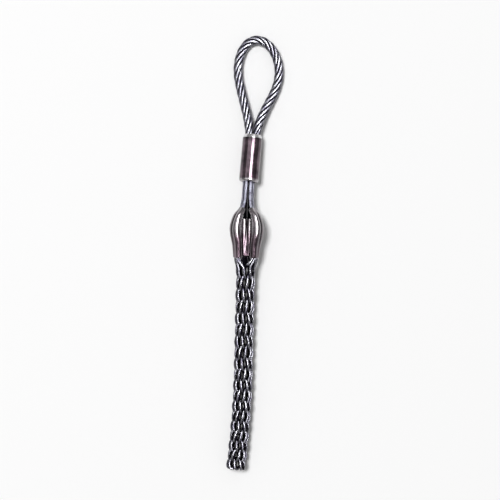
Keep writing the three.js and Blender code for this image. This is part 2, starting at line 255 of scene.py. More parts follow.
@dataclass
class Surface:
    """A surface in millimetres: points, faces and the numbers kept at each point."""

    points: np.ndarray
    faces: list[list[int]]
    layers: dict[str, np.ndarray]


def make_piece(
    name: str,
    place: Placement,
    surface: Surface,
    replaced: str,
    material: bpy.types.Material,
) -> None:
    """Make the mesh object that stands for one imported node, or for a part of it, on the root body.

    Args:
        name: name of the piece.
        place: where the grip lies.
        surface: its points, faces and layers.
        replaced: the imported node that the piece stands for.
        material: its finish.
    """
    mesh = bpy.data.meshes.new(name)
    mesh.from_pydata(place.to_frame(surface.points).tolist(), [], surface.faces)
    for layer, values in surface.layers.items():
        attribute = mesh.attributes.new(layer, "FLOAT", "POINT")
        attribute.data.foreach_set("value", np.asarray(values, dtype=np.float32).ravel())
    mesh.polygons.foreach_set("use_smooth", np.ones(len(mesh.polygons), dtype=bool))
    mesh.materials.append(material)
    mesh.update()
    piece = bpy.data.objects.new(name, mesh)
    bpy.context.scene.collection.objects.link(piece)
    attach(piece, "root")
    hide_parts(replaced)
    LOG.info("%s: %d points, %d faces", name, len(mesh.vertices), len(mesh.polygons))


@dataclass
class LaidOutline:
    """Outline of round wires laid round a middle one, turned as it goes along.

    Attributes:
        lay: length of one turn of the wires.
        hand: 1 for a right-hand lay, -1 for a left-hand one.
        wires: number of outer wires.
        per_wire: points on each wire's visible arc.
    """

    lay: float
    hand: int = 1
    wires: int = 12
    per_wire: int = 3

    def sweep(self, thread: Thread, radius: np.ndarray) -> Surface:
        """Surface of the strand along a thread.

        With the strand's radius as 1, wires that touch have the radius a = sin h / (1 + sin h),
        where h is half the angle of a wire, and stand at b = 1 - a. The outline in polar form is
        b cos w plus the root of a squared less b squared sin squared w, where w runs from -h to h
        across each wire. It turns once in each lay.

        Args:
            thread: centre line of the strand.
            radius: radius of the strand at each station.

        Returns:
            The surface. Its layer groove is 0 in a valley and 1 on a crest, and its layer facing
            is 1 on the outward side and 0 on the inward side. The wire finishes paint shade and
            highlights in the colour from these two layers.
        """
        count = self.wires * self.per_wire
        half = math.pi / self.wires
        wire = math.sin(half) / (1.0 + math.sin(half))
        ring = 1.0 - wire
        angle = 2.0 * math.pi * np.arange(count) / count
        from_wire = (angle + half) % (2.0 * half) - half
        depth = np.maximum(wire**2 - (ring * np.sin(from_wire)) ** 2, 0.0)
        reach = ring * np.cos(from_wire) + np.sqrt(depth)
        turned = angle[None, :] + (self.hand * 2.0 * math.pi * thread.travelled / self.lay)[:, None]
        size = radius[:, None] * reach[None, :]
        points = thread.frames.place(size * np.cos(turned), size * np.sin(turned))
        groove = np.broadcast_to((reach - reach.min()) / (reach.max() - reach.min()), size.shape)
        facing = (0.5 + 0.5 * np.cos(turned)) * thread.shine[:, None]
        layers = {
            "groove": np.concatenate([groove.ravel(), [0.0, 0.0]]),
            "facing": np.concatenate([facing.ravel(), [0.0, 0.0]]),
        }
        ends = thread.frames.centre[[0, -1]]
        stations = len(radius)
        faces = ring_faces(stations, count, False).tolist() + end_faces(stations, count)
        return Surface(np.concatenate([points.reshape(-1, 3), ends]), faces, layers)


def end_faces(stations: int, count: int) -> list[list[int]]:
    """Triangles that close both ends of a swept outline, to the two points after its rings."""
    around = np.arange(count)
    after = (around + 1) % count
    first, last = stations * count, stations * count + 1
    tail = (stations - 1) * count
    opening = np.stack([np.full(count, first), after, around], axis=1)
    closing = np.stack([np.full(count, last), tail + around, tail + after], axis=1)
    return opening.tolist() + closing.tolist()


# The grip's line


@dataclass
class GripSizes:
    """Driving dimensions in millimetres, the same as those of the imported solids.

    Names that end in _at, _from, _to, _lower, _upper, _start or _end are places on Y. Those that
    end in _d or _od are diameters, and in _r or _radius radii.
    """

    # Rope and eye
    rope_d: float = 6.3
    rope_pressed_d: float = 5.2
    rope_lay: float = 36.0
    eye_widest: float = 45.0
    eye_crown: float = 21.8
    eye_half_width: float = 14.45
    eye_sway: float = 4.1
    eye_sway_at: float = 52.0
    eye_flat_from: float = 36.0
    rope_bite: float = 16.0
    rope_swell: float = 8.0
    rope_end_gap: float = 0.3
    rope_end_space: float = 1.0
    # Main sleeve
    main_od: float = 13.65
    main_length: float = 33.3
    main_from: float = 53.0
    main_bevel: float = 2.6
    main_end_d: float = 12.0
    main_round: float = 1.4
    main_slope: float = 0.079
    main_lean: float = 0.0865
    main_bore_step: float = 1.5
    # Legs
    leg_d: float = 2.6
    leg_bite: float = 13.0
    leg_end: float = 16.5
    leg_gap: float = 0.2
    spread_from: float = 47.0
    shoulder_at: float = 33.5
    shoulder_radius: float = 4.3
    # Splice sleeves and the pear that they make
    splice_count: int = 3
    splice_lower: float = 0.7
    splice_length: float = 27.8
    bow_at: float = 20.0
    bow_radius: float = 9.25
    mouth_radius: float = 6.93
    top_radius: float = 8.3
    lobe_r_mouth: float = 2.15
    lobe_r_bow: float = 2.9
    lobe_r_top: float = 1.85
    lobe_gap_bow: float = 1.9
    # Mesh
    strand_d: float = 1.55
    strand_count: int = 9
    mesh_od: float = 13.86
    mesh_twist: float = math.pi / 18.0
    levels: int = 19
    first_pitch: float = 8.75
    pitch_loss: float = 0.128
    flat: float = 0.2
    straighten: float = 0.6
    hairpin: float = 3.0
    hairpin_hold: float = 1.3
    strand_start: float = 14.0
    # Clearances
    gap: float = 0.25
    rope_gap: float = 0.2
    side_gap: float = 0.1
    mouth_gap: float = 0.15
    crossing_gap: float = 0.25
    stack_gap: float = 0.15

    @property
    def main_to(self) -> float:
        """Upper end of the main sleeve."""
        return self.main_from + self.main_length

    @property
    def rope_half_spacing(self) -> float:
        """Half the distance between the two pressed rope ends."""
        return (self.rope_pressed_d + self.rope_end_gap) / 2.0

    @property
    def leg_half_spacing(self) -> float:
        """Half the distance between the two legs of a pair."""
        return (self.leg_d + self.leg_gap) / 2.0

    @property
    def bundle_radius(self) -> float:
        """From the grip's axis to the middle of a pair of legs, where they run together."""
        return self.leg_half_spacing / math.tan(math.pi / (2 * self.splice_count))

    @property
    def bundle_od(self) -> float:
        """Across all six legs, where they run together."""
        middle = self.leg_half_spacing / math.sin(math.pi / (2 * self.splice_count))
        return 2.0 * middle + self.leg_d

    @property
    def strands_across(self) -> int:
        """Strands side by side in a sleeve's mouth."""
        return self.strand_count // self.splice_count

    @property
    def mouth_half_spacing(self) -> float:
        """From the middle strand to the outer ones in a sleeve's mouth."""
        return (self.strand_d + self.side_gap) * (self.strands_across - 1) / 2.0

    @property
    def mouth_bore(self) -> float:
        """Radius of a splice sleeve's bore round the strands."""
        return self.stack + self.strand_d / 2.0 + self.mouth_gap

    @property
    def stack(self) -> float:
        """Half the distance between two strands one over the other in a sleeve."""
        return self.strand_d / 2.0 + self.stack_gap / 2.0

    @property
    def wave(self) -> float:
        """How far a strand swings in and out of the middle of the mesh's wall."""
        return self.strand_d / 2.0 + self.crossing_gap / 2.0

    @property
    def mesh_mid(self) -> float:
        """Radius of the middle of the mesh's wall."""
        return self.mesh_od / 2.0 - self.strand_d / 2.0 - self.wave

    @property
    def splice_upper(self) -> float:
        """Upper end of the splice sleeves."""
        return self.splice_lower + self.splice_length

    @property
    def row_turn(self) -> float:
        """Turn of a strand round the mesh from one row of crossings to the next."""
        return math.pi / self.strand_count


@dataclass
class GripLine:
    """The line that the grip lies along, and the branches of its pear.

    Attributes:
        sizes: the driving dimensions.
        bend: place and X of the line below the main sleeve, as the grip lies in the photograph.
        sleeve_x: X of the line at the main sleeve's lower end.
        climb: place, and share of the rise from the mesh to the pear, between the two.
        flat_between: the two places between which the mesh lies flat.
        swell: share of the pear's swelling that is reached half way to its widest place.
        narrowing: share of the shoulder's radius that is left half way to the legs' bundle.
        tuck: how far the branches are drawn in at the splice sleeves' upper ends.
    """

    sizes: GripSizes
    bend: Knots = (
        (-150.0, -8.2), (-122.0, -5.2), (-95.0, -3.2), (-50.0, -1.9), (0.0, -0.7), (36.0, 0.2),
    )
    sleeve_x: float = 1.2
    climb: Knots = ((-24.5, 0.23), (-4.9, 0.62))
    flat_between: tuple[float, float] = (-95.0, -50.0)
    swell: float = 0.25
    narrowing: float = 0.17
    tuck: float = 0.8
    plan: Knots = field(init=False)
    height: Knots = field(init=False)
    branch: Knots = field(init=False)
    pair: Knots = field(init=False)

    def __post_init__(self) -> None:
        """Work the knots out from the sizes."""
        s = self.sizes
        self.plan = (
            *self.bend,
            (s.main_from, self.sleeve_x),
            (s.main_to, self.sleeve_x + s.main_lean * s.main_length),
        )
        ground = s.mesh_od / 2.0
        bow = s.bow_radius + s.lobe_r_bow
        self.height = (
            *((place, ground) for place in self.flat_between),
            *((place, ground + share * (bow - ground)) for place, share in self.climb),
            (s.bow_at, bow),
            (s.main_from, bow - s.main_slope * (s.main_from - s.bow_at)),
            (s.main_to, bow - s.main_slope * (s.main_to - s.bow_at)),
        )
        self.branch = (
            (s.splice_lower, s.mouth_radius),
            (s.bow_at / 2.0, s.mouth_radius + self.swell * (s.bow_radius - s.mouth_radius)),
            (s.bow_at, s.bow_radius), (s.splice_upper, s.top_radius - self.tuck),
            (s.shoulder_at, s.shoulder_radius),
            (
                (s.shoulder_at + s.spread_from) / 2.0,
                s.bundle_radius + self.narrowing * (s.shoulder_radius - s.bundle_radius),
            ),
            (s.spread_from, s.bundle_radius), (s.main_to, s.bundle_radius),
        )
        self.pair = (
            (s.splice_lower, s.mouth_half_spacing), (s.bow_at, s.lobe_gap_bow),
            (s.splice_upper, s.leg_half_spacing), (s.main_to, s.leg_half_spacing),
        )

    def centre(self, y: np.ndarray) -> np.ndarray:
        """Points of the grip's axis."""
        return np.stack([through(self.plan, y), y, through(self.height, y)], axis=-1)

    def frames(self, y: np.ndarray) -> Frames:
        """Stations looking down the grip, with side towards +X and up away from the ground."""
        y = np.asarray(y, dtype=float)
        along = unit(self.centre(y - PROBE) - self.centre(y + PROBE))
        side = unit(np.cross(np.array([0.0, 0.0, 1.0]), along))
        return Frames(self.centre(y), along, side, np.cross(along, side))

    def around(self, y: np.ndarray, angle: Values, radius: Values) -> np.ndarray:
        """Points round the axis: radius times the angle's cosine of side and sine of up."""
        at = self.frames(y)
        x = np.broadcast_to(radius * np.cos(angle), y.shape)[:, None]
        z = np.broadcast_to(radius * np.sin(angle), y.shape)[:, None]
        return at.centre + x * at.side + z * at.up

    def branch_frames(self, number: int, y: np.ndarray) -> Frames:
        """Stations of one branch: side runs round the grip, up points to its axis."""
        angle = FIRST_BRANCH + 2.0 * math.pi * number / self.sizes.splice_count
        y = np.asarray(y, dtype=float)

        def middle(place: np.ndarray) -> np.ndarray:
            """Points of the branch's middle line."""
            return self.around(place, angle, through(self.branch, place))

        along = unit(middle(y - PROBE) - middle(y + PROBE))
        at = self.frames(y)
        side = square_to(-math.sin(angle) * at.side + math.cos(angle) * at.up, along)
        return Frames(middle(y), along, side, np.cross(along, side))

    def in_branch(self, number: int, across: float, inward: float, y: np.ndarray) -> np.ndarray:
        """Points of a wire in a branch: across is -1 to 1 over the pair, inward is to the axis."""
        at = self.branch_frames(number, y)
        return at.centre + across * through(self.pair, y)[:, None] * at.side + inward * at.up

    def outward(self, points: np.ndarray) -> np.ndarray:
        """Directions from the grip's axis to points at the same Y."""
        return unit(points - self.centre(points[:, 1]))


# Finishes


def linear(hex_colour: str) -> tuple[float, float, float, float]:
    """An sRGB hex colour as linear red, green, blue and alpha."""
    parts = [int(hex_colour[i : i + 2], 16) / 255.0 for i in (1, 3, 5)]
    red, green, blue = (c / 12.92 if c <= 0.04045 else ((c + 0.055) / 1.055) ** 2.4 for c in parts)
    return red, green, blue, 1.0


def set_stops(ramp: bpy.types.ColorRamp, stops: tuple[tuple[float, str], ...]) -> None:
    """Give a colour ramp its stops, each a place and a hex colour, in order of place."""
    while len(ramp.elements) < len(stops):
        ramp.elements.new(0.5)
    for element, (place, colour) in zip(ramp.elements, stops):
        element.position = place
        element.color = linear(colour)


def add_node(tree: bpy.types.NodeTree, kind: str, settings: dict, links: dict) -> bpy.types.Node:
    """Add a shader node.

    Args:
        tree: the node tree.
        kind: the node's type name.
        settings: attributes of the node, socket values where the name is a socket's name or
            number, or the stops of a colour ramp.
        links: input socket to the output that feeds it.

    Returns:
        The node.
    """
    node = tree.nodes.new(kind)
    for name, value in settings.items():
        if name == "stops":
            set_stops(node.color_ramp, value)
        elif isinstance(name, int) or name in node.inputs:
            node.inputs[name].default_value = value
        else:
            setattr(node, name, value)
    for name, output in links.items():
        tree.links.new(output, node.inputs[name])
    return node


def new_material(name: str) -> tuple[bpy.types.Material, bpy.types.NodeTree, bpy.types.Node]:
    """An empty material with its output node."""
    material = bpy.data.materials.new(name)
    material.use_nodes = True
    material.node_tree.nodes.clear()
    output = material.node_tree.nodes.new("ShaderNodeOutputMaterial")
    return material, material.node_tree, output


@dataclass(frozen=True)
class GalvanisedWire:
    """Drawn steel wire with a bright zinc coat, laid into strands.

    The colour has painted light in it: painted shade turns the valleys between the wires and
    their inward sides nearly black, and a painted cool highlight lights the crest of each wire.

    Attributes:
        name: the material's name.
        valley: painted shade colour between two wires.
        flank: colour of a wire's side, half in painted shade.
        crest: colour of a wire's top, with a painted highlight.
        tint: what patches of older zinc multiply the colour by.
        roughness: roughness of the newest zinc.
        shade_from: value of the layer facing below which a wire is in the dark.
        shade_to: value of the layer facing above which a wire is fully lit.
        stops: places of the three colours, from a valley to a crest.
        patch_scale: zinc patches in a metre. They are about 4 mm wide.
        patch_level: noise at which a patch starts, and at which it is full.
        patch_share: how much of the tint a full patch takes.
        rougher: roughness added on the oldest zinc.
        rough_level: noise at which the added roughness starts, and at which it is full.
        grain_scale: die marks in a metre. They are finer than 0.1 mm on drawn wire, and are
            drawn at about 0.2 mm so that they show.
        grain_depth: depth of the die marks in metres.
        grain_strength: how strongly they bend the light.
    """

    name: str
    valley: str
    flank: str
    crest: str
    tint: str
    roughness: float
    shade_from: float = 0.25
    shade_to: float = 0.7
    stops: tuple[float, float, float] = (0.05, 0.45, 0.85)
    patch_scale: float = 260.0
    patch_level: tuple[float, float] = (0.42, 0.66)
    patch_share: float = 0.75
    rougher: float = 0.16
    rough_level: tuple[float, float] = (0.3, 0.7)
    grain_scale: float = 4200.0
    grain_depth: float = 0.00004
    grain_strength: float = 0.25

    def build(self) -> bpy.types.Material:
        """The material."""
        material, tree, output = new_material(self.name)
        place = add_node(tree, "ShaderNodeTexCoord", {}, {}).outputs["Object"]
        groove, facing = (
            add_node(tree, "ShaderNodeAttribute", {"attribute_name": layer}, {}).outputs["Fac"]
            for layer in ("groove", "facing")
        )
        exposed = add_node(
            tree, "ShaderNodeMapRange",
            {
                "interpolation_type": "SMOOTHSTEP",
                "From Min": self.shade_from, "From Max": self.shade_to,
            },
            {"Value": facing},
        ).outputs["Result"]
        lit = add_node(
            tree, "ShaderNodeMath", {"operation": "MULTIPLY"}, {0: groove, 1: exposed}
        ).outputs["Value"]
        # Painted shade in a valley and on the inward side, painted highlight on a crest
        colours = (self.valley, self.flank, self.crest)
        base = add_node(
            tree, "ShaderNodeValToRGB", {"stops": tuple(zip(self.stops, colours))}, {"Fac": lit}
        ).outputs["Color"]
        patches = add_node(
            tree, "ShaderNodeTexNoise",
            {"Scale": self.patch_scale, "Detail": 3.0, "Roughness": 0.6}, {"Vector": place},
        ).outputs[0]
        share = add_node(
            tree, "ShaderNodeMapRange",
            {
                "From Min": self.patch_level[0], "From Max": self.patch_level[1],
                "To Max": self.patch_share,
            },
            {"Value": patches},
        ).outputs["Result"]
        tinted = add_node(
            tree, "ShaderNodeMix",
            {"data_type": "RGBA", "blend_type": "MULTIPLY", MIX_B: linear(self.tint)},
            {0: share, MIX_A: base},
        ).outputs[2]
        rough = add_node(
            tree, "ShaderNodeMapRange",
            {
                "From Min": self.rough_level[0], "From Max": self.rough_level[1],
                "To Min": self.roughness, "To Max": self.roughness + self.rougher,
            },
            {"Value": patches},
        ).outputs["Result"]
        grain = add_node(
            tree, "ShaderNodeTexNoise",
            {"Scale": self.grain_scale, "Detail": 2.0}, {"Vector": place},
        ).outputs[0]
        bump = add_node(
            tree, "ShaderNodeBump",
            {"Strength": self.grain_strength, "Distance": self.grain_depth}, {"Height": grain},
        ).outputs["Normal"]
        shader = add_node(
            tree, "ShaderNodeBsdfPrincipled", {"Metallic": 1.0},
            {"Base Color": tinted, "Roughness": rough, "Normal": bump},
        )
        tree.links.new(shader.outputs["BSDF"], output.inputs["Surface"])
        return material


@dataclass(frozen=True)
class PressedSteel:
    """Mild steel tube pressed on to the wires between dies.

    Pressing leaves a smooth, slightly glossy skin with faint marks along the sleeve, and handling
    has turned it brown and mauve. A film of oil from the dies mirrors lamps without the steel's
    tint. Over the skin go a lighter colour, which is wearing together with a painted sheen, and
    a dark colour, which is painted shade.

    Attributes:
        name: the material's name.
        dark: the darker colour of the skin.
        light: the lighter colour of the skin.
        lightened: lighter colour, of wearing with a painted sheen, where its layer is 1.
        painted_shade_colour: colour of the painted shade, where its layer is 1.
        roughness: middle roughness, from which it falls by smoother and rises by rougher.
        smoother: see roughness.
        rougher: see roughness.
        rough_level: noise at which the roughness is lowest, and at which it is highest.
        streak_scale: marks of the dies in a metre. They are about 1 mm wide.
        streak_stretch: how the marks are drawn out along Y, to about 14 mm.
        streak_share: share of the marks in the colour.
        streak_depth: depth of the marks in metres.
        streak_strength: how strongly they bend the light.
        patch_scale: patches of the skin in a metre. They are about 7 mm wide.
        colour_level: noise at which the skin is darkest, and at which it is lightest.
        oil: share of the oil film.
        oil_roughness: its roughness.
    """

    name: str
    dark: str
    light: str
    lightened: str
    painted_shade_colour: str
    roughness: float
    smoother: float = 0.04
    rougher: float = 0.1
    rough_level: tuple[float, float] = (0.3, 0.7)
    streak_scale: float = 900.0
    streak_stretch: tuple[float, float, float] = (1.0, 0.08, 1.0)
    streak_share: float = 0.45
    streak_depth: float = 0.00005
    streak_strength: float = 0.2
    patch_scale: float = 150.0
    colour_level: tuple[float, float] = (0.52, 0.95)
    oil: float = 0.6
    oil_roughness: float = 0.08

    def build(self) -> bpy.types.Material:
        """The material."""
        material, tree, output = new_material(self.name)
        place = add_node(tree, "ShaderNodeTexCoord", {}, {}).outputs["Object"]
        stretched = add_node(
            tree, "ShaderNodeMapping", {"Scale": self.streak_stretch}, {"Vector": place}
        ).outputs["Vector"]
        streaks = add_node(
            tree, "ShaderNodeTexNoise",
            {"Scale": self.streak_scale, "Detail": 4.0, "Roughness": 0.55}, {"Vector": stretched},
        ).outputs[0]
        patches = add_node(
            tree, "ShaderNodeTexNoise",
            {"Scale": self.patch_scale, "Detail": 3.0, "Roughness": 0.5}, {"Vector": place},
        ).outputs[0]
        both = add_node(
            tree, "ShaderNodeMath",
            {"operation": "MULTIPLY_ADD", 1: self.streak_share}, {0: streaks, 2: patches},
        ).outputs["Value"]
        share = add_node(
            tree, "ShaderNodeMapRange",
            {"From Min": self.colour_level[0], "From Max": self.colour_level[1]}, {"Value": both},
        ).outputs["Result"]
        sheen_and_wear, painted_shade = (
            add_node(tree, "ShaderNodeAttribute", {"attribute_name": layer}, {}).outputs["Fac"]
            for layer in ("wear_and_sheen", "painted_shade")
        )
        stops = ((0.0, self.dark), (1.0, self.light))
        colour = add_node(
            tree, "ShaderNodeValToRGB", {"stops": stops}, {"Fac": share}
        ).outputs["Color"]
        # Lay the lighter colour, wearing with a painted sheen, then the painted shade over the skin
        for amount, over in ((sheen_and_wear, self.lightened), (painted_shade, self.painted_shade_colour)):
            colour = add_node(
                tree, "ShaderNodeMix", {"data_type": "RGBA", MIX_B: linear(over)},
                {0: amount, MIX_A: colour},
            ).outputs[2]
        rough = add_node(
            tree, "ShaderNodeMapRange",
            {
                "From Min": self.rough_level[0], "From Max": self.rough_level[1],
                "To Min": self.roughness - self.smoother, "To Max": self.roughness + self.rougher,
            },
            {"Value": patches},
        ).outputs["Result"]
        bump = add_node(
            tree, "ShaderNodeBump",
            {"Strength": self.streak_strength, "Distance": self.streak_depth}, {"Height": streaks},
        ).outputs["Normal"]
        shader = add_node(
            tree, "ShaderNodeBsdfPrincipled",
            {"Metallic": 1.0, "Coat Weight": self.oil, "Coat Roughness": self.oil_roughness},
            {"Base Color": colour, "Roughness": rough, "Normal": bump},
        )
        tree.links.new(shader.outputs["BSDF"], output.inputs["Surface"])
        return material


@dataclass(frozen=True)
class PaleBoard:
    """Matt white board that the grip lies on, which shows no lamp and keeps the shadow."""

    name: str = "matt white board"
    colour: str = "#FBFBFB"
    roughness: float = 0.9

    def build(self) -> bpy.types.Material:
        """The material."""
        material, tree, output = new_material(self.name)
        shader = add_node(
            tree, "ShaderNodeBsdfPrincipled",
            {
                "Base Color": linear(self.colour), "Roughness": self.roughness,
                "Specular IOR Level": 0.0,
            },
            {},
        )
        tree.links.new(shader.outputs["BSDF"], output.inputs["Surface"])
        return material


# Sub-assemblies


@dataclass
class MainSleeve:
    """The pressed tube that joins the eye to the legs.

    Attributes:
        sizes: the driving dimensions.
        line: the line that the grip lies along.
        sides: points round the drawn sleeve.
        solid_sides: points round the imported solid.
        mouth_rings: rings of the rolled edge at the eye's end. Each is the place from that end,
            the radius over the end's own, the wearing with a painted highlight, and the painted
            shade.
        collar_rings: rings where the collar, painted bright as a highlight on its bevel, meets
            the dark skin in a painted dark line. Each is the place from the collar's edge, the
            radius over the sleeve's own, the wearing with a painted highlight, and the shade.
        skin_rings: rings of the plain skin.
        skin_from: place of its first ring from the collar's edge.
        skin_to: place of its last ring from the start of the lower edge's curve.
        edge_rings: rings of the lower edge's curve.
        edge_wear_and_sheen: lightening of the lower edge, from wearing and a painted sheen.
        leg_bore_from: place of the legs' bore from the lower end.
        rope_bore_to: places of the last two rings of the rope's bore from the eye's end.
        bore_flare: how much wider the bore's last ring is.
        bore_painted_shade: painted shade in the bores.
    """

    sizes: GripSizes
    line: GripLine
    sides: int = 96
    solid_sides: int = 24
    mouth_rings: tuple[tuple[float, float, float, float], ...] = (
        (-0.05, -0.35, 0.4, 0.3), (0.0, -0.2, 0.8, 0.0), (-0.05, -0.05, 1.0, 0.0),
        (-0.2, 0.05, 1.0, 0.0), (-0.9, 0.3, 1.0, 0.0),
    )
    collar_rings: tuple[tuple[float, float, float, float], ...] = (
        (0.5, -0.17, 1.0, 0.0), (0.15, -0.06, 0.7, 0.2), (-0.15, 0.0, 0.1, 1.0),
        (-0.6, 0.0, 0.0, 0.6), (-1.1, 0.0, 0.0, 0.0),
    )
    skin_rings: int = 24
    skin_from: float = -2.0
    skin_to: float = 1.0
    edge_rings: int = 7
    edge_wear_and_sheen: float = 0.45
    leg_bore_from: float = 0.2
    rope_bore_to: tuple[float, float] = (-0.3, -0.1)
    bore_flare: float = 0.1
    bore_painted_shade: float = 0.8

    def middle_frame(self) -> Frames:
        """The sleeve is straight, so the frame at its middle serves its whole length."""
        return self.line.frames(np.array([(self.sizes.main_from + self.sizes.main_to) / 2.0]))

    def frames_at(self, from_middle: np.ndarray) -> Frames:
        """Stations at distances from the middle, counted towards the eye."""
        middle = self.middle_frame()
        centre = middle.centre - from_middle[:, None] * middle.along
        directions = (middle.along, middle.side, middle.up)
        return Frames(centre, *(np.repeat(v, len(from_middle), axis=0) for v in directions))

    def rings(self, from_middle: np.ndarray, radius: np.ndarray, angle: np.ndarray) -> np.ndarray:
        """Rings round the sleeve: radius times the angle's cosine of side and sine of up."""
        return self.frames_at(from_middle).place(radius * np.cos(angle), radius * np.sin(angle))

    def lower_edge(self, turn: np.ndarray) -> tuple[np.ndarray, np.ndarray]:
        """Places and radii of the lower edge's quarter round, from the skin to the end."""
        s = self.sizes
        place = s.main_round * (1.0 - np.sin(turn)) - s.main_length / 2.0
        return place, s.main_od / 2.0 - s.main_round * (1.0 - np.cos(turn))

    def solid_profile(self) -> tuple[np.ndarray, np.ndarray]:
        """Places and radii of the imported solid's outer corners."""
        s = self.sizes
        top = s.main_length / 2.0
        half = s.main_od / 2.0
        edge_place, edge_radius = self.lower_edge(np.array([0.0, math.pi / 4.0, math.pi / 2.0]))
        place = np.concatenate([[top, top - s.main_bevel], edge_place])
        return place, np.concatenate([[s.main_end_d / 2.0, half], edge_radius])

    def placement(self) -> Placement:
        """Shift from the grip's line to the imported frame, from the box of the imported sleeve."""
        place, radius = self.solid_profile()
        angle = 2.0 * math.pi * np.arange(self.solid_sides) / self.solid_sides
        points = self.rings(place, radius[:, None], angle).reshape(-1, 3)
        low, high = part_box("main_sleeve")
        packed = (np.array(low) + np.array(high)) / (2.0 * MM)
        return Placement(packed - (points.min(axis=0) + points.max(axis=0)) / 2.0)

    def rope_bore(self, angle: np.ndarray) -> np.ndarray:
        """Radius of the obround bore round the two rope ends, at each angle.

        It is the flank height over the sine where the ray meets a flank, and otherwise the far
        root of the ray's circle round a rope end.
        """
        s = self.sizes
        reach = s.rope_pressed_d / 2.0 + s.rope_gap
        half = s.rope_half_spacing
        flank = reach / np.maximum(np.abs(np.sin(angle)), SMALLEST)
        across = np.abs(np.cos(angle)) * half
        end = across + np.sqrt(np.maximum(across**2 - half**2 + reach**2, 0.0))
        return np.where(np.abs(np.cos(angle)) * flank <= half, flank, end)

    def build(self, place: Placement, material: bpy.types.Material) -> None:
        """Turn the outer skin with rolled edges, line it with the two bores, and join the ends."""
        s = self.sizes
        top = s.main_length / 2.0
        half = s.main_od / 2.0
        end = s.main_end_d / 2.0
        collar = top - s.main_bevel
        skin_to = s.main_round - top + self.skin_to
        skin = np.linspace(collar + self.skin_from, skin_to, self.skin_rings)
        edge = self.lower_edge(np.linspace(0.0, math.pi / 2.0, self.edge_rings))
        # Place, radius, wearing with painted sheen, and painted shade of each ring, from the eye's
        # end down
        outer = [(top + y, end + r, wear_and_sheen, painted_shade) for y, r, wear_and_sheen, painted_shade in self.mouth_rings]
        outer += [(collar + y, half + r, wear_and_sheen, painted_shade) for y, r, wear_and_sheen, painted_shade in self.collar_rings]
        outer += [(y, half, 0.0, 0.0) for y in skin]
        outer += [(y, r, self.edge_wear_and_sheen, 0.0) for y, r in zip(*edge)]
        ring_place, ring_radius, wear_and_sheen, painted_shade = np.array(outer).T
        angle = 2.0 * math.pi * np.arange(self.sides) / self.sides
        change = top - s.rope_bite
        last = [top + y for y in self.rope_bore_to]
        inner_place = np.array([self.leg_bore_from - top, change - s.main_bore_step, change, *last])
        leg_bore = np.full(self.sides, s.bundle_od / 2.0 + s.gap)
        rope_bore = self.rope_bore(angle)
        mouth = rope_bore + self.bore_flare
        inner_radius = np.stack([leg_bore, leg_bore, rope_bore, rope_bore, mouth])
        outer_rings = self.rings(ring_place, ring_radius[:, None], angle)
        rings = np.concatenate([outer_rings, self.rings(inner_place, inner_radius, angle)])
        inside = np.zeros(len(inner_place))
        # The bores get no wearing or sheen, and are darkened by painted shade
        layers = {
            "wear_and_sheen": np.repeat(np.concatenate([wear_and_sheen, inside]), self.sides),
            "painted_shade": np.repeat(np.concatenate([painted_shade, inside + self.bore_painted_shade]), self.sides),
        }
        surface = Surface(rings, ring_faces(len(rings), self.sides, True).tolist(), layers)
        make_piece("main_sleeve_pressed", place, surface, "main_sleeve", material)


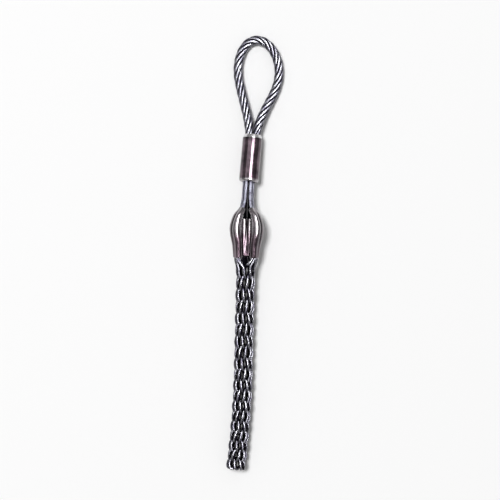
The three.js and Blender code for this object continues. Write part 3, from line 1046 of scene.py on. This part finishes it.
@dataclass
class PullingEye:
    """The loop of laid wire rope: six strands round a core.

    Attributes:
        sizes: the driving dimensions.
        sleeve: the sleeve that holds the rope's ends.
        strands: number of outer strands.
        wire_lay: length of one turn of a strand's wires.
        step: distance between stations.
        soften: length over which the loop's kinks are averaged out.
        ring_share: distance from the rope's middle to a strand's, over the rope's radius.
        strand_share: a strand's radius over the rope's.
        core_share: the core's radius over the rope's.
        bite_points: points of the line in the sleeve.
        side_points: points from the sleeve to the widest place.
        crown_points: points round the crown, with both ends.
        neck_gap: how far below the sleeve's end the points in the sleeve stop.
    """

    sizes: GripSizes
    sleeve: MainSleeve
    strands: int = 6
    wire_lay: float = 15.0
    step: float = 0.6
    soften: float = 2.4
    ring_share: float = 0.675
    strand_share: float = 0.36
    core_share: float = 0.33
    bite_points: int = 40
    side_points: int = 120
    crown_points: int = 161
    neck_gap: float = 0.1

    def neck(self) -> Frames:
        """The station at the sleeve's upper end."""
        return self.sleeve.frames_at(np.array([self.sizes.main_length / 2.0]))

    def centre_line(self) -> Thread:
        """Centre line of the rope.

        In the sleeve's frame the loop's half width eases from the pressed ends to the widest
        place and then follows half an ellipse. Its middle line sways to one side as a parabola,
        and its height falls to the ground on a cubic.
        """
        s = self.sizes
        half = s.rope_half_spacing
        t = np.linspace(0.0, 1.0, self.side_points)
        half_width = half + (s.eye_half_width - half) * smooth(t)
        shoulder = np.stack([half_width, t * s.eye_widest], axis=1)
        held_at = np.linspace(s.rope_end_space - s.rope_bite, -self.neck_gap, self.bite_points)
        bite = np.stack([np.full(self.bite_points, half), held_at], axis=1)
        side = np.concatenate([bite, shoulder])
        turn = np.linspace(0.0, math.pi, self.crown_points)[1:-1]
        crown = np.stack(
            [-s.eye_half_width * np.cos(turn), s.eye_widest + s.eye_crown * np.sin(turn)], axis=1
        )
        plan = np.concatenate([side * [-1.0, 1.0], crown, side[::-1]])
        across, distance = plan[:, 0], plan[:, 1]
        neck = self.neck()
        along = neck.along[0]
        points = neck.centre + across[:, None] * neck.side
        held = points - distance[:, None] * along
        lean = along[0] / along[1]
        free = points.copy()
        free[:, 0] += s.eye_sway * (1.0 - (1.0 - distance / s.eye_sway_at) ** 2)
        settle = 1.0 - smooth(distance / s.eye_flat_from)
        free[:, 0] += (lean - 2.0 * s.eye_sway / s.eye_sway_at) * distance * settle
        free[:, 1] += distance
        t = np.minimum(distance / s.eye_flat_from, 1.0)
        free[:, 2] = hermite(t, s.eye_flat_from, neck.centre[0, 2], -along[2], s.rope_d / 2.0, 0.0)
        line = np.where(distance[:, None] <= 0.0, held, free)
        upward = np.broadcast_to(np.array([0.0, 0.0, 1.0]), line.shape)
        return thread_through(line, upward, self.step, self.soften)

    def radius_along(self, thread: Thread) -> np.ndarray:
        """Rope radius at each station: pressed in the sleeve, swelling to its full size outside."""
        s = self.sizes
        neck = self.neck()
        distance = -np.sum((thread.frames.centre - neck.centre) * neck.along, axis=1)
        pressed = s.rope_pressed_d / 2.0
        return pressed + (s.rope_d / 2.0 - pressed) * smooth(distance / s.rope_swell)

    def build(
        self, place: Placement, strand_finish: bpy.types.Material, core_finish: bpy.types.Material
    ) -> None:
        """Lay the strands round the core: each is a right-hand helix about the rope's line."""
        s = self.sizes
        rope = self.centre_line()
        radius = self.radius_along(rope)
        # The wires of a strand turn the other way round from the strands, as in regular lay rope
        outline = LaidOutline(lay=self.wire_lay, hand=-1)
        rope_share = rope.travelled / rope.travelled[-1]
        for number in range(self.strands):
            turn = 2.0 * math.pi * (rope.travelled / s.rope_lay + number / self.strands)
            out = np.cos(turn)[:, None] * rope.frames.side + np.sin(turn)[:, None] * rope.frames.up
            centre = rope.frames.centre + (self.ring_share * radius)[:, None] * out
            strand = thread_through(centre, out, self.step)
            share = strand.travelled / strand.travelled[-1]
            strand_radius = self.strand_share * np.interp(share, rope_share, radius)
            surface = outline.sweep(strand, strand_radius)
            name = f"eye_strand_{number + 1}"
            make_piece(name, place, surface, "eye_rope", strand_finish)
        core = LaidOutline(lay=self.wire_lay, wires=6, per_wire=2)
        surface = core.sweep(rope, radius * self.core_share)
        make_piece("eye_core", place, surface, "eye_rope", core_finish)


@dataclass
class WireLegs:
    """Six small laid strands in three pairs, from the main sleeve into the splice sleeves.

    Attributes:
        sizes: the driving dimensions.
        line: the line that the grip lies along.
        lay: length of one turn of a leg's wires.
        wires: number of outer wires in a leg.
        per_wire: points on each wire's visible arc.
        step: distance between stations.
        line_points: points of a leg's line before it is evenly spaced.
    """

    sizes: GripSizes
    line: GripLine
    lay: float = 17.0
    wires: int = 9
    per_wire: int = 4
    step: float = 0.6
    line_points: int = 200

    def build(self, place: Placement, material: bpy.types.Material) -> None:
        """Each leg is nine wires laid round a middle one, along one line of its pair."""
        s = self.sizes
        outline = LaidOutline(lay=self.lay, wires=self.wires, per_wire=self.per_wire)
        y = np.linspace(s.main_from + s.leg_bite, s.leg_end, self.line_points)
        for number in range(s.splice_count):
            for lobe in (-1, 1):
                points = self.line.in_branch(number, lobe, 0.0, y)
                leg = thread_through(points, self.line.outward(points), self.step)
                surface = outline.sweep(leg, np.full(len(leg.travelled), s.leg_d / 2.0))
                name = f"leg_strand_{2 * number + (1 if lobe < 0 else 2)}"
                make_piece(f"{name}_laid", place, surface, name, material)


@dataclass
class SpliceSleeves:
    """Three two-lobed sleeves pressed over the legs and the ends of the mesh strands.

    Attributes:
        sizes: the driving dimensions.
        line: the line that the grip lies along.
        sides: points round a sleeve.
        stations: rings along it.
        lowest: number of the branch that lies on the ground.
        rim: length of the rolled edges, which fall by half of it.
        rim_step: length of the first and the last row of faces.
        lip: how far the two upper sleeves are drawn out over their legs.
        lowest_lip: how far the lowest one is.
        shoulder_r: radius of a lobe where the lip starts.
        tip_r: radius of a lobe at the tip of the lip.
        creases: depth of the crease at the mouth, the widest place, the lip's start and the top.
        crease_painted_shade: strength and half width of the painted shade in the crease.
        lighten: most by which the upper half is lightened.
        lighten_from: where the lightening starts.
        lighten_over: length over which it grows.
        rim_wear_and_sheen: lightening of the rolled edges, from wearing and a painted sheen.
        bore_painted_shade: painted shade in the bore.
    """

    sizes: GripSizes
    line: GripLine
    sides: int = 72
    stations: int = 80
    lowest: int = 2
    rim: float = 0.25
    rim_step: float = 0.1
    lip: float = 6.0
    lowest_lip: float = 0.1
    shoulder_r: float = 2.35
    tip_r: float = 1.68
    creases: tuple[float, float, float, float] = (0.0, 1.0, 0.9, 0.2)
    crease_painted_shade: tuple[float, float] = (1.3, 1.5)
    lighten: float = 0.3
    lighten_from: float = 13.0
    lighten_over: float = 9.0
    rim_wear_and_sheen: float = 0.7
    bore_painted_shade: float = 0.8

    def two_lobes(self, half: np.ndarray, radius: np.ndarray) -> tuple[np.ndarray, np.ndarray]:
        """Outline of two arcs of the lobe radius that meet in a crease."""
        each = self.sides // 2
        reach = math.pi - np.arccos(half / radius)
        share = (np.arange(each) + 0.5) / each
        angle = 2.0 * reach[:, None] * share[None, :] - reach[:, None]
        x = half[:, None] + radius[:, None] * np.cos(angle)
        z = radius[:, None] * np.sin(angle)
        return np.concatenate([x, -x], axis=1), np.concatenate([z, -z], axis=1)

    def obround(self, half: np.ndarray, radius: np.ndarray) -> tuple[np.ndarray, np.ndarray]:
        """Outline of two half circles joined by straight flanks."""
        each = self.sides // 2
        angle = math.pi * np.arange(each) / (each - 1) - math.pi / 2.0
        x = half[:, None] + radius[:, None] * np.cos(angle)[None, :]
        z = radius[:, None] * np.sin(angle)[None, :]
        return np.concatenate([x, -x], axis=1), np.concatenate([z, -z], axis=1)

    def surface(self, number: int) -> Surface:
        """Surface of one sleeve, from its upper end down the branch and back up the bore.

        The outer outline is the obround plus crease times the step to the two lobes, where crease
        is 1 at the widest place of the pear and eases off to both ends. The two upper sleeves are
        drawn out over their legs by the lip.

        Args:
            number: the branch.

        Returns:
            The surface, with a layer of wearing and painted sheen, and a layer of painted shade.
        """
        s = self.sizes
        upper = number != self.lowest
        top = s.splice_upper + (self.lip if upper else self.lowest_lip)
        knot_places = (s.splice_lower, s.bow_at, s.splice_upper, top)
        tip_r = self.tip_r if upper else s.lobe_r_top
        lobe_radii = (s.lobe_r_mouth, s.lobe_r_bow, self.shoulder_r, tip_r)
        half_gaps = (s.mouth_half_spacing, s.lobe_gap_bow, s.lobe_gap_bow, s.leg_half_spacing)
        y = np.linspace(top, s.splice_lower, self.stations)
        y = np.concatenate([[top, top - self.rim_step], y[1:-1], [y[-1] + self.rim_step, y[-1]]])
        from_end = np.clip(np.minimum(top - y, y - s.splice_lower) / self.rim, 0.0, 1.0)
        rolled = np.sqrt(1.0 - (1.0 - from_end) ** 2)
        radius = through(tuple(zip(knot_places, lobe_radii)), y) - 0.5 * self.rim * (1.0 - rolled)
        half = through(tuple(zip(knot_places, half_gaps)), y)
        crease = through(tuple(zip(knot_places, self.creases)), y)[:, None]
        flat_x, flat_z = self.obround(half, radius)
        lobe_x, lobe_z = self.two_lobes(half, radius)
        x, z = flat_x + (lobe_x - flat_x) * crease, flat_z + (lobe_z - flat_z) * crease
        leg_bore = s.leg_d / 2.0 + s.gap
        ease = smooth((s.leg_end - y) / (s.leg_end - s.strand_start))
        bore = leg_bore + (s.mouth_bore - leg_bore) * ease
        # Painted shade darkens the crease, and the upper half is lighter
        strength, width = self.crease_painted_shade
        outer_painted_shade = np.clip(strength * crease, 0.0, 1.0) * (1.0 - smooth(np.abs(x) / width))
        lightened = self.lighten * smooth((y - self.lighten_from) / self.lighten_over)
        wear_and_sheen = np.maximum(lightened, self.rim_wear_and_sheen * (1.0 - rolled))
        layers = {
            "wear_and_sheen": np.repeat(np.concatenate([wear_and_sheen, np.zeros(len(y))]), self.sides),
            "painted_shade": np.concatenate([outer_painted_shade.ravel(), np.full(x.size, self.bore_painted_shade)]),
        }
        at = self.line.branch_frames(number, y)
        bore_rings = at.place(*self.obround(through(self.line.pair, y), bore))
        rings = np.concatenate([at.place(x, z), bore_rings[::-1]])
        return Surface(rings, ring_faces(len(rings), self.sides, True).tolist(), layers)

    def build(self, place: Placement, material: bpy.types.Material) -> None:
        """Press a sleeve over each branch."""
        for number in range(self.sizes.splice_count):
            name = f"splice_sleeve_{number + 1}"
            make_piece(f"{name}_pressed", place, self.surface(number), name, material)


@dataclass
class Mesh:
    """The woven stocking: nine long strands, each down right-handed and back up left-handed.

    Attributes:
        sizes: the driving dimensions.
        line: the line that the grip lies along.
        lay: length of one turn of a strand's wires.
        step: distance between stations.
        soften: length over which a strand's kinks are averaged out.
        crest_cut: how far the swing's cosine is raised before its tops are cut flat.
        inside_shine: shine of a strand on the inside of the mesh.
        shine_from: where the shine starts to grow, in swings inwards of the wall's middle.
        shine_over: swings over which it grows.
        run_shine: shine of the down run, the hairpin and the up run, with painted shade on the last.
        held_points: points of a run in its splice sleeve.
        flare_points: points between the sleeve and the weave, with both ends.
        row_points: points from one row to the next.
        hairpin_points: points of a hairpin, with both ends.
    """

    sizes: GripSizes
    line: GripLine
    lay: float = 12.0
    step: float = 0.65
    soften: float = 2.0
    crest_cut: float = 1.2
    inside_shine: float = 0.35
    shine_from: float = 0.8
    shine_over: float = 1.4
    run_shine: tuple[float, float, float] = (1.0, 0.9, 0.8)
    held_points: int = 40
    flare_points: int = 32
    row_points: int = 24
    hairpin_points: int = 42

    def exposure(self, points: np.ndarray) -> np.ndarray:
        """How open a strand is to the light: the shine eases to 1 on the mesh's outside."""
        s = self.sizes
        radius = np.linalg.norm(points - self.line.centre(points[:, 1]), axis=1)
        outwards = (radius - s.mesh_mid + self.shine_from * s.wave) / (self.shine_over * s.wave)
        return self.inside_shine + (1.0 - self.inside_shine) * smooth(outwards)

    def row_y(self, row: Values) -> Values:
        """Place of a row: each is a little closer to the last than the one before."""
        s = self.sizes
        return -s.first_pitch * row + s.pitch_loss * row * (row - 1.0) / 2.0

    def wave(self, row: Values) -> Values:
        """In and out swing of a strand: a cosine with its tops cut flat over the crossings."""
        return np.clip(self.crest_cut * np.cos(math.pi * row), -1.0, 1.0)

    def angle(self, column: int, hand: int, row: Values) -> Values:
        """Angle of a strand round the axis at a row.

        It turns by hand times pi over the number of strands from row to row, with a sine of the
        row taken off that makes it run straighter where it lies outside.
        """
        s = self.sizes
        from_middle = column - (s.strands_across - 1) / 2.0
        first = FIRST_BRANCH + s.mesh_twist + 2.0 * s.row_turn * from_middle
        straightened = row - hand * s.straighten * np.sin(math.pi * row) / math.pi
        return first + hand * s.row_turn * straightened

    def run(self, column: int, hand: int) -> np.ndarray:
        """Dense points of one run, from its splice sleeve to the last row.

        Held in the sleeve it keeps its place in the branch, then its angle and radius ease to
        those of the mesh, and from there it weaves from row to row.
        """
        s = self.sizes
        branch, place = divmod(column, s.strands_across)
        across = 2.0 * place / (s.strands_across - 1) - 1.0
        held_at = np.linspace(s.strand_start, s.splice_lower, self.held_points)
        held = self.line.in_branch(branch, across, hand * s.stack, held_at)
        mouth = self.line.frames(np.array([s.splice_lower]))
        offset = held[-1] - mouth.centre[0]
        x, z = float(offset @ mouth.side[0]), float(offset @ mouth.up[0])
        mouth_radius, mouth_angle = math.hypot(x, z), math.atan2(z, x)
        first = 1.0 - s.flat
        apart = float(self.angle(column, hand, first)) - mouth_angle
        turn = math.atan2(math.sin(apart), math.cos(apart))
        first_radius = s.mesh_mid - hand * s.wave
        span = s.splice_lower - self.row_y(first)
        t = np.linspace(0.0, 1.0, self.flare_points)[1:-1]
        end_slope = hand * s.row_turn / s.first_pitch
        flare = self.line.around(
            s.splice_lower - t * span,
            hermite(t, span, mouth_angle, 0.0, mouth_angle + turn, end_slope),
            mouth_radius + (first_radius - mouth_radius) * smooth(t),
        )
        row = np.linspace(first, s.levels, int(self.row_points * (s.levels - first)))
        radius = s.mesh_mid + hand * s.wave * self.wave(row)
        woven = self.line.around(self.row_y(row), self.angle(column, hand, row), radius)
        return np.concatenate([held, flare, woven])

    def hairpin(self, column: int) -> np.ndarray:
        """Dense points of the turned-back end: half a turn of an ellipse on the mesh's wall."""
        s = self.sizes
        last = float(s.levels)
        start = float(self.angle(column, 1, last))
        t = np.linspace(0.0, math.pi, self.hairpin_points)[1:-1]
        swing = s.wave * self.wave(last) * np.clip(s.hairpin_hold * np.cos(t), -1.0, 1.0)
        return self.line.around(
            self.row_y(last) - s.hairpin * np.sin(t),
            start + s.row_turn * (1.0 - np.cos(t)),
            s.mesh_mid + swing,
        )

    def build(self, place: Placement, material: bpy.types.Material) -> None:
        """Each strand is laid wires along its down run, hairpin and up run."""
        s = self.sizes
        outline = LaidOutline(lay=self.lay)
        for column in range(s.strand_count):
            back = (column + s.levels + 1) % s.strand_count
            runs = [self.run(column, 1), self.hairpin(column), self.run(back, -1)[::-1]]
            points = np.concatenate(runs)
            # Painted shade darkens the hairpin and the up run more than the down run
            shine = self.exposure(points) * np.concatenate(
                [np.full(len(part), level) for part, level in zip(runs, self.run_shine)]
            )
            outward = self.line.outward(points)
            strand = thread_through(points, outward, self.step, self.soften, shine)
            surface = outline.sweep(strand, np.full(len(strand.travelled), s.strand_d / 2.0))
            name = f"mesh_strand_{column + 1}"
            make_piece(f"{name}_laid", place, surface, name, material)


@dataclass(frozen=True)
class Softbox:
    """An area lamp that faces the middle of the board.

    Attributes:
        name: name of the lamp.
        at: its place in metres.
        size: its width and length in metres.
        watts: its power.
        mirrored: whether it lights by its mirror image in metal, or else the matt board alone.
    """

    name: str
    at: tuple[float, float, float]
    size: tuple[float, float]
    watts: float
    mirrored: bool

    def build(self) -> None:
        """Set the lamp up."""
        light = bpy.data.lights.new(self.name, "AREA")
        light.shape = "RECTANGLE"
        light.size, light.size_y = self.size
        light.energy = self.watts
        lamp = bpy.data.objects.new(self.name, light)
        lamp.location = self.at
        x, y, z = self.at
        lamp.rotation_euler = (math.atan2(-y, z), math.atan2(x, math.hypot(y, z)), 0.0)
        lamp.visible_glossy = self.mirrored
        lamp.visible_diffuse = not self.mirrored
        bpy.context.scene.collection.objects.link(lamp)


@dataclass
class Studio:
    """Pale board, soft light and a camera that looks straight down.

    Attributes:
        lamps: the key lamp far off, and the two panels that the metal mirrors.
        world_level: strength of the white surroundings.
        board_half: half the board's width in metres.
        aim_mm: point of the grip's line under the camera: 3 pixels to the right of the line and
            8 pixels above Y = 0 in the photograph, at about the grip's middle height.
        frame_mm: width of the photograph's frame.
        distance: from the camera to the point in metres.
        sensor_mm: width of the camera's sensor.
    """

    lamps: tuple[Softbox, ...] = (
        Softbox("key softbox", (-2.00, 1.65, 7.5), (2.0, 2.0), 470.0, False),
        Softbox("mirrored strip", (0.30, 0.25, 1.15), (0.56, 1.5), 44.0, True),
        Softbox("mirrored panel", (-0.62, 0.2, 1.2), (0.9, 1.8), 7.0, True),
    )
    world_level: float = 0.30
    board_half: float = 3.0
    aim_mm: tuple[float, float, float] = (2.1, 5.6, 7.0)
    frame_mm: float = 350.0
    distance: float = 1.1
    sensor_mm: float = 36.0

    def build(self, place: Placement) -> None:
        """Set the board, the lamps, the world and the camera."""
        self.add_board()
        for lamp in self.lamps:
            lamp.build()
        self.add_world()
        self.add_camera(place)

    def add_board(self) -> None:
        """A square board under the grip."""
        mesh = bpy.data.meshes.new("board")
        turns = ((-1.0, -1.0), (1.0, -1.0), (1.0, 1.0), (-1.0, 1.0))
        corners = [(x * self.board_half, y * self.board_half, 0.0) for x, y in turns]
        mesh.from_pydata(corners, [], [(0, 1, 2, 3)])
        mesh.materials.append(PaleBoard().build())
        board = bpy.data.objects.new("board", mesh)
        bpy.context.scene.collection.objects.link(board)

    def add_world(self) -> None:
        """Plain white surroundings."""
        world = bpy.data.worlds.new("studio")
        world.use_nodes = True
        background = world.node_tree.nodes["Background"]
        background.inputs["Color"].default_value = linear("#FFFFFF")
        background.inputs["Strength"].default_value = self.world_level
        bpy.context.scene.world = world

    def add_camera(self, place: Placement) -> None:
        """Camera over the middle of the photograph's frame."""
        middle = place.to_frame(np.array([self.aim_mm]))[0]
        data = bpy.data.cameras.new("camera")
        data.sensor_width = self.sensor_mm
        data.lens = self.sensor_mm * self.distance / (self.frame_mm * MM)
        camera = bpy.data.objects.new("camera", data)
        camera.location = (middle[0], middle[1], middle[2] + self.distance)
        bpy.context.scene.collection.objects.link(camera)
        bpy.context.scene.camera = camera


def main() -> None:
    """Build every sub-assembly in order, and log the shift."""
    logging.basicConfig(level=logging.INFO, format="%(name)s: %(message)s")
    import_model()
    sizes = GripSizes()
    line = GripLine(sizes)
    sleeve = MainSleeve(sizes, line)
    place = sleeve.placement()
    LOG.info("shift %s mm", np.round(place.shift, 4).tolist())
    Studio().build(place)

    # The wire finishes paint shade in the valleys and a highlight on the crests
    rope_wire = GalvanisedWire(
        name="galvanised rope wire",
        valley="#08060C", flank="#85838F", crest="#F0F2F8", tint="#8E86A0",
        roughness=0.24, shade_from=0.68, shade_to=0.92,
    ).build()
    # The core is painted dark, as painted shade inside the rope
    core_wire = GalvanisedWire(
        name="core wire in painted shade",
        valley="#08070A", flank="#2A2730", crest="#4A4750", tint="#8E8496",
        roughness=0.45,
    ).build()
    strand_wire = GalvanisedWire(
        name="galvanised strand wire",
        valley="#08060C", flank="#7C7A86", crest="#FAFBFF", tint="#8A82A0",
        roughness=0.2, shade_from=0.3, shade_to=0.7,
    ).build()
    leg_wire = GalvanisedWire(
        name="dull galvanised leg wire",
        valley="#07060A", flank="#4C4A56", crest="#9A9CA8", tint="#8A8094",
        roughness=0.32, shade_from=0.45, shade_to=0.9,
    ).build()
    # The lighter colour is wearing with a painted sheen, and the darkest one is painted shade
    pressed = PressedSteel(
        name="pressed steel",
        dark="#281C24", light="#6E5C66", lightened="#D2D0D2", painted_shade_colour="#0C0709",
        roughness=0.16,
    ).build()

    sleeve.build(place, pressed)
    PullingEye(sizes, sleeve).build(place, rope_wire, core_wire)
    WireLegs(sizes, line).build(place, leg_wire)
    SpliceSleeves(sizes, line).build(place, pressed)
    Mesh(sizes, line).build(place, strand_wire)

    bpy.context.scene.view_settings.view_transform = "Standard"


if __name__ == "__main__":
    main()
